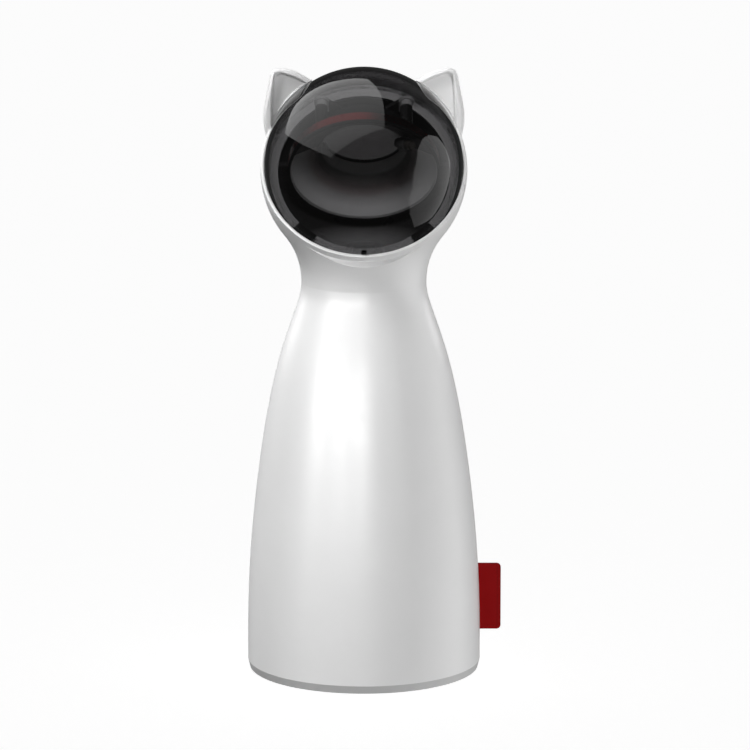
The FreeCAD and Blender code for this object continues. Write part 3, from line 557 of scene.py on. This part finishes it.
def finishes():
    """One material for each finish slot of the record."""
    # The bowl floor's grey is painted light from above; its sides are black.
    painted_light_grey, side_black = 0.24, 0.02
    between = 0.55 * side_black + 0.45 * painted_light_grey
    return {
        "white_shell": moulded("white_shell", grey(0.80), 0.38, 0.01),
        "button_plastic": moulded("button_plastic", (0.70, 0.70, 0.71), 0.35, 0.02),
        "base_plastic": moulded("base_plastic", grey(0.54), 0.5, 0.03, 900.0, 0.00003),
        "foot_rubber": moulded("foot_rubber", grey(0.03), 0.8, 0.1, 900.0, 0.00004),
        "steel": moulded("steel", (0.6, 0.6, 0.61), 0.28, 0.06, 2500.0, metal=1.0),
        "inner_plastic": moulded("inner_plastic", grey(0.012), 0.5, 0.08),
        "cell_sleeve": moulded("cell_sleeve", (0.12, 0.13, 0.14), 0.3, 0.05),
        "bezel_plastic": moulded("bezel_plastic", grey(0.42), 0.4, 0.04),
        "black_plastic": bowl_with_painted_light("black_plastic", (
            (0.1552, grey(painted_light_grey)), (0.1577, grey(between)),
            (0.1602, grey(side_black))), 0.3),
        "board_green": moulded("board_green", (0.02, 0.12, 0.06), 0.4, 0.1),
        "switch_plastic": moulded("switch_plastic", grey(0.04), 0.5, 0.08),
        "tag_red": moulded("tag_red", (0.27, 0.003, 0.004), 0.6, 0.04, 1800.0, 0.00003,
                           specular=0.04),
        "scanner_plastic": scanner_two_tone_with_painted_shade(
            "scanner_plastic", outside=grey(0.005), ends=grey(0.35),
            round_laser=grey(0.05), rough=0.35, inside=(
                # Painted shade by depth: light at the mouth, darker deeper, a painted red
                # reflection of the ring, then the well's wall painted lighter.
                (0.0020, grey(0.5)), (0.0040, (0.38, 0.375, 0.375)),
                (0.0053, (0.235, 0.205, 0.205)), (0.0067, (0.13, 0.115, 0.115)),
                (0.0100, grey(0.12)), (0.0115, grey(0.35)))),
        "ring_red": moulded("ring_red", (0.30, 0.010, 0.012), 0.3, 0.04),
        "mirror_glass": moulded("mirror_glass", (0.12, 0.118, 0.118), 0.15, 0.01,
                                depth=0.000001, spread=0.02),
        "gear_plastic": moulded("gear_plastic", grey(0.02), 0.45, 0.03),
        "motor_can": moulded("motor_can", grey(0.6), 0.22, 0.04, metal=1.0),
        "brass": moulded("brass", (0.70, 0.50, 0.20), 0.25, 0.05, metal=1.0),
        "clear_resin": clear_part("clear_resin", (0.9, 0.92, 0.95), 0.05),
        "lens_glass": clear_part("lens_glass", (0.85, 0.9, 0.95), 0.01),
        "smoked_clear": see_through("smoked_clear", (
            (0.0, (0.216, 0.214, 0.218)), (0.2, (0.187, 0.185, 0.189)),
            (0.43, (0.16, 0.158, 0.162)), (0.695, (0.136, 0.135, 0.138)),
            (0.715, grey(0.0))), 0.01, 0.8),
    }


# ------------------------------------------------------------------------- new pieces
def closed_mesh(name, points):
    """Mesh over a grid of points, points[v, u], that closes on itself in u.  Points
    that lie on each other, as at a pole, are joined, and the faces point outwards."""
    rows, columns = points.shape[:2]
    v, u = np.meshgrid(np.arange(rows - 1), np.arange(columns), indexing="ij")
    after = (u + 1) % columns
    quads = np.stack([v * columns + u, v * columns + after, (v + 1) * columns + after,
                      (v + 1) * columns + u], axis=-1).reshape(-1, 4)
    mesh = bpy.data.meshes.new(name)
    mesh.from_pydata(points.reshape(-1, 3), [], quads.tolist())
    work = bmesh.new()
    work.from_mesh(mesh)
    bmesh.ops.remove_doubles(work, verts=work.verts, dist=1e-7)
    bmesh.ops.recalc_face_normals(work, faces=work.faces)
    work.to_mesh(mesh)
    work.free()
    mesh.shade_smooth()
    mesh.set_sharp_from_angle(angle=math.radians(50.0))
    return mesh


def add_piece(name, mesh, mat):
    """New piece that rides on the toy's body."""
    piece = placed(name, mesh)
    mesh.materials.append(mat)
    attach(piece, "body")
    return piece


def squared_off(wave, power):
    """A wave from -1 to 1 whose size is raised to a power and whose sign is kept."""
    return np.sign(wave) * np.abs(wave) ** power


def turned_about_mouth(name, radius, height):
    """Surface of revolution about the mouth's axis.  The point at profile place t and
    turn a is the dome's centre plus height(t) along the axis plus radius(t) times
    (cos a to the right plus sin a up the mouth)."""
    a = np.linspace(0, 2 * math.pi, 192, endpoint=False)
    side = np.cos(a)[:, None] * RIGHT + np.sin(a)[:, None] * MOUTH_UP
    points = (DOME_C + height[:, None, None] * MOUTH_OUT
              + radius[:, None, None] * side[None, :, :])
    return closed_mesh(name, points)


def dome_piece(mat, inside_mat):
    """Smoked dome: outer sphere from pole to rim, then the inner sphere back again."""
    rim = -DOME_RISE - DOME_SINK
    inside_r = DOME_R - DOME_WALL
    outer = np.linspace(0.0, math.acos(rim / DOME_R), 72)
    inner = np.linspace(math.acos(rim / inside_r), 0.0, 72)
    radius = np.concatenate([DOME_R * np.sin(outer), inside_r * np.sin(inner)])
    height = np.concatenate([DOME_R * np.cos(outer), inside_r * np.cos(inner)])
    mesh = turned_about_mouth("smoked_dome", radius, height)
    piece = add_piece("smoked_dome", mesh, mat)
    mesh.materials.append(inside_mat)
    centres = np.empty(len(mesh.polygons) * 3)
    mesh.polygons.foreach_get("center", centres)
    reach = np.linalg.norm(centres.reshape(-1, 3) - DOME_C, axis=1)
    is_inner = reach < DOME_R - DOME_WALL / 2
    mesh.polygons.foreach_set("material_index", is_inner.astype(np.int32))
    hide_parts("dome_window")


def mouth_lip(mat):
    """White lip round the dome.  Its section is a closed loop: straight up beside the
    dome, over a half-ellipse, and down the head's own sphere; it is turned about the
    mouth's axis."""
    inner = DOME_R + LIP_GAP
    top = LIP_RISE - LIP_ROUND
    outer = math.sqrt(HEAD_R ** 2 - top ** 2)
    middle, half = (inner + outer) / 2, (outer - inner) / 2
    turn = np.linspace(math.pi, 0.0, 13)
    down = np.linspace(top, 0.0, 6)[1:]
    radius = np.concatenate([[inner], middle + half * np.cos(turn),
                             np.sqrt(HEAD_R ** 2 - down ** 2), [inner]])
    height = np.concatenate([[0.0], top + LIP_ROUND * np.sin(turn), down, [0.0]])
    mesh = turned_about_mouth("mouth_lip", radius, height - DOME_RISE)
    return add_piece("mouth_lip", mesh, mat)


def dome_pins(mat):
    """Small pins in the dome's wall.  Each is a pillow whose point at angles (a, b) is
    the square root of each of cos a cos b, sin a cos b and sin b, with its sign, times
    the pin's half sizes."""
    b, a = np.meshgrid(np.linspace(-math.pi / 2, math.pi / 2, 13),
                       np.linspace(0, 2 * math.pi, 24, endpoint=False), indexing="ij")
    shape = np.stack([np.cos(a) * np.cos(b), np.sin(a) * np.cos(b), np.sin(b)], axis=-1)
    shape = squared_off(shape, 0.5)
    # Name, place right, up and out from the head's centre, half width and half height,
    # in millimetres.
    pins = (("left_top", -15.4, 31.5, 7.3, 0.9, 0.9), ("right_top", 15.4, 31.5, 7.3, 0.9, 0.9),
            ("left_side", -31.3, 16.1, -1.1, 1.1, 0.6), ("right_side", 31.3, 16.1, -1.1, 1.1, 0.6),
            ("low", 0.0, -35.4, 3.6, 1.0, 0.8))
    for name, right, up, out, wide, high in pins:
        spot = (np.array((right, up, out)) / 1000) @ np.stack([RIGHT, MOUTH_UP, MOUTH_OUT])
        outward = HEAD + spot - DOME_C
        outward /= np.linalg.norm(outward)
        side = np.cross(MOUTH_OUT, outward)
        side /= np.linalg.norm(side)
        rise = np.cross(outward, side)
        half_sizes = np.stack([side * wide, rise * high, outward * PIN_HALF_DEPTH_MM]) / 1000
        points = DOME_C + outward * (DOME_R - PIN_SINK) + shape @ half_sizes
        mesh = closed_mesh("pin_" + name, points)
        add_piece("pin_" + name, mesh, mat)


def snap_clip(name, start, end, mat):
    """Black clip over one notch of the bezel.  Its section is a rounded rectangle in
    distance from and height along the mouth's axis, carried round that axis from start
    to end in degrees, and drawn to a point at each end."""
    turn = np.linspace(0, 2 * math.pi, 32, endpoint=False)
    across = CLIP_HALF_WIDTH * squared_off(np.cos(turn), CLIP_POWER)
    rise = CLIP_HALF_THICK * squared_off(np.sin(turn), CLIP_POWER)
    angle = np.radians(np.concatenate([[start], np.linspace(start, end, 16), [end]]))
    size = np.ones(len(angle))
    size[[0, -1]] = 0.0
    radius = CLIP_R + size[:, None] * across
    height = -CLIP_SINK + size[:, None] * rise
    way = np.cos(angle)[:, None, None] * RIGHT + np.sin(angle)[:, None, None] * MOUTH_UP
    points = HEAD + radius[:, :, None] * way + height[:, :, None] * MOUTH_OUT
    add_piece(name, closed_mesh(name, points), mat)


def ear_bead(name, start, end, mat):
    """Thin bead on an ear's face beside the dome.  A circle, smaller towards both ends
    as the square root of the sine, is carried round an upright circle just below the
    head's centre, from start to end in degrees, in the plane of the ear's face."""
    turn = np.linspace(0, 2 * math.pi, 16, endpoint=False)
    along = np.linspace(0.0, 1.0, 48)
    angle = np.radians(start + (end - start) * along)
    thick = BEAD_HALF_THICK * np.sqrt(np.sin(math.pi * along))
    radius = BEAD_R + thick[:, None] * np.cos(turn)
    points = np.stack([radius * np.cos(angle)[:, None],
                       BEAD_BACK - thick[:, None] * np.sin(turn),
                       HEAD_Z - BEAD_DROP + radius * np.sin(angle)[:, None]], axis=-1)
    return add_piece(name, closed_mesh(name, points), mat)


# ------------------------------------------------------------------------ the whole toy
def wear(node, mat):
    """Gives a CAD node its finish."""
    for place in nodes[node].material_slots:
        place.material = mat


def dress(looks):
    """Gives every CAD node its finish and adds the pieces that only Blender shows.
    Returns the white ones, the lip first."""
    for part in frame["record"]["subparts"]:
        wear(part["node"], looks[part["material_slot"]])
    blackened = moulded("blackened_brass", (0.06, 0.055, 0.05), 0.4, 0.05, metal=0.3)
    wear("laser_module", blackened)
    wear("bracket_screws", blackened)
    wear("gear_bracket", bracket_finish("bracket_plastic", grey(0.01), grey(0.35), 0.5))
    clear = see_through("smoked_inside", ((0.0, grey(1.0)),), 0.01, 1.0)
    dome_piece(looks["smoked_clear"], clear)
    lip = mouth_lip(looks["white_shell"])
    left_bead = ear_bead("ear_bead_left", 120.0, 153.0, looks["white_shell"])
    right_bead = ear_bead("ear_bead_right", 27.0, 60.0, looks["white_shell"])
    dome_pins(looks["inner_plastic"])
    snap_clip("snap_clip_left", 222.5, 237.0, looks["inner_plastic"])
    snap_clip("snap_clip_right", 303.0, 317.5, looks["inner_plastic"])
    return [lip, left_bead, right_bead]


def light_the_dome():
    """The two panels that show in the smoked dome."""
    dome_softbox("overhead_softbox", (
        (-0.788, 0.324), (-0.328, 0.086), (0.205, 0.376), (0.169, 0.717), (0.122, 0.790),
        (0.036, 0.870), (-0.242, 0.858), (-0.424, 0.806), (-0.565, 0.728), (-0.687, 0.610),
        (-0.751, 0.475)), ((0.0, 0.15), 0.4), ((-0.3, 0.75), 3.2))
    dome_softbox("side_softbox", (
        (0.650, 0.311), (0.583, 0.272), (0.539, 0.175), (0.494, -0.062), (0.450, -0.329),
        (0.457, -0.477), (0.502, -0.611), (0.672, -0.522), (0.835, -0.210), (0.866, 0.027),
        (0.820, 0.175), (0.732, 0.294)), ((0.45, -0.1), 0.85), ((0.8, -0.05), 2.4))


def light_the_shells(outside):
    """Soft light and highlights for what can be seen outside the dome."""
    for name, azimuth, elevation, power in (
            ("left_soft", -70, 30, 18.4), ("left_high_soft", -70, 60, 31.4),
            ("right_soft", 35, 5, 14.0), ("right_low_soft", 35, -30, 15.0),
            ("back_right_soft", 125, 10, 11.0), ("back_left_soft", -125, 10, 3.0),
            ("rear_soft", 180, 35, 10.0)):
        place = around(azimuth, elevation, SHELL_LAMP_AWAY, LOOK_AT)
        panel_light(name, place, LOOK_AT, 0.7, power, outside)
    for name, azimuth, power in (
            ("left_highlight", -55, 27.3), ("front_highlight", -28, 23.9),
            ("middle_highlight", -4, 27.0), ("left_edge", -135, 6.0), ("right_edge", 135, 6.0)):
        place = around(azimuth, 10, SHELL_LAMP_AWAY, LOOK_AT)
        panel_light(name, place, LOOK_AT, 0.5, power, outside, highlight=True)


def light_the_head(inside):
    """Lamps for the pieces behind the dome, and a narrow spot for the red ring."""
    mirror = lit_group("mirror_only", [nodes["mirror_disc"]])
    scanner = lit_group("scanner_only", [nodes["scanner_cup"]])
    for name, azimuth, elevation, power, group in (
            ("head_fill", 5, 42, 33.0, inside), ("mirror_fill", 0, -5, 29.0, mirror),
            ("well_fill", 0, 0, 3.0, scanner)):
        place = around(azimuth, elevation, HEAD_LAMP_AWAY, HEAD)
        panel_light(name, place, HEAD, 0.3, power, group)
    spot = bpy.data.lights.new("ring_spot", "SPOT")
    spot.energy = 11.0
    spot.spot_size = math.radians(3.2)
    spot.spot_blend = 0.6
    spot.shadow_soft_size = 0.004
    lamp = placed("ring_spot", spot)
    aim(lamp, around(-12, 50, RING_LAMP_AWAY, HEAD),
        HEAD + RING_R * SCAN_UP - RING_LEFT * RIGHT)
    lamp.light_linking.receiver_collection = lit_group("ring_only", [nodes["red_ring"]])


def light_the_toy(trims):
    """Dim world, pale floor and the lamps.  trims are the white pieces that dress adds,
    the lip first.  The front shell and the lip stay out of reflections."""
    make_world(0.01, 0.09)
    make_floor(0.03)
    light_the_dome()
    for piece in (nodes["front_shell"], trims[0]):
        piece.visible_glossy = False
    in_head = ("scanner_cup", "bezel_ring", "liner_bowl", "gear_bracket",
               "bracket_screws", "laser_module", "laser_lens")
    with_own_lamps = ("mirror_disc", "red_ring")
    inside = lit_group("inside", [nodes[name] for name in in_head])
    outside = lit_group("outside", trims + [
        nodes[name] for name in sorted(nodes) if name not in in_head + with_own_lamps])
    light_the_shells(outside)
    light_the_head(inside)


make_camera()
light_the_toy(dress(finishes()))
bpy.context.scene.view_settings.view_transform = "Standard"
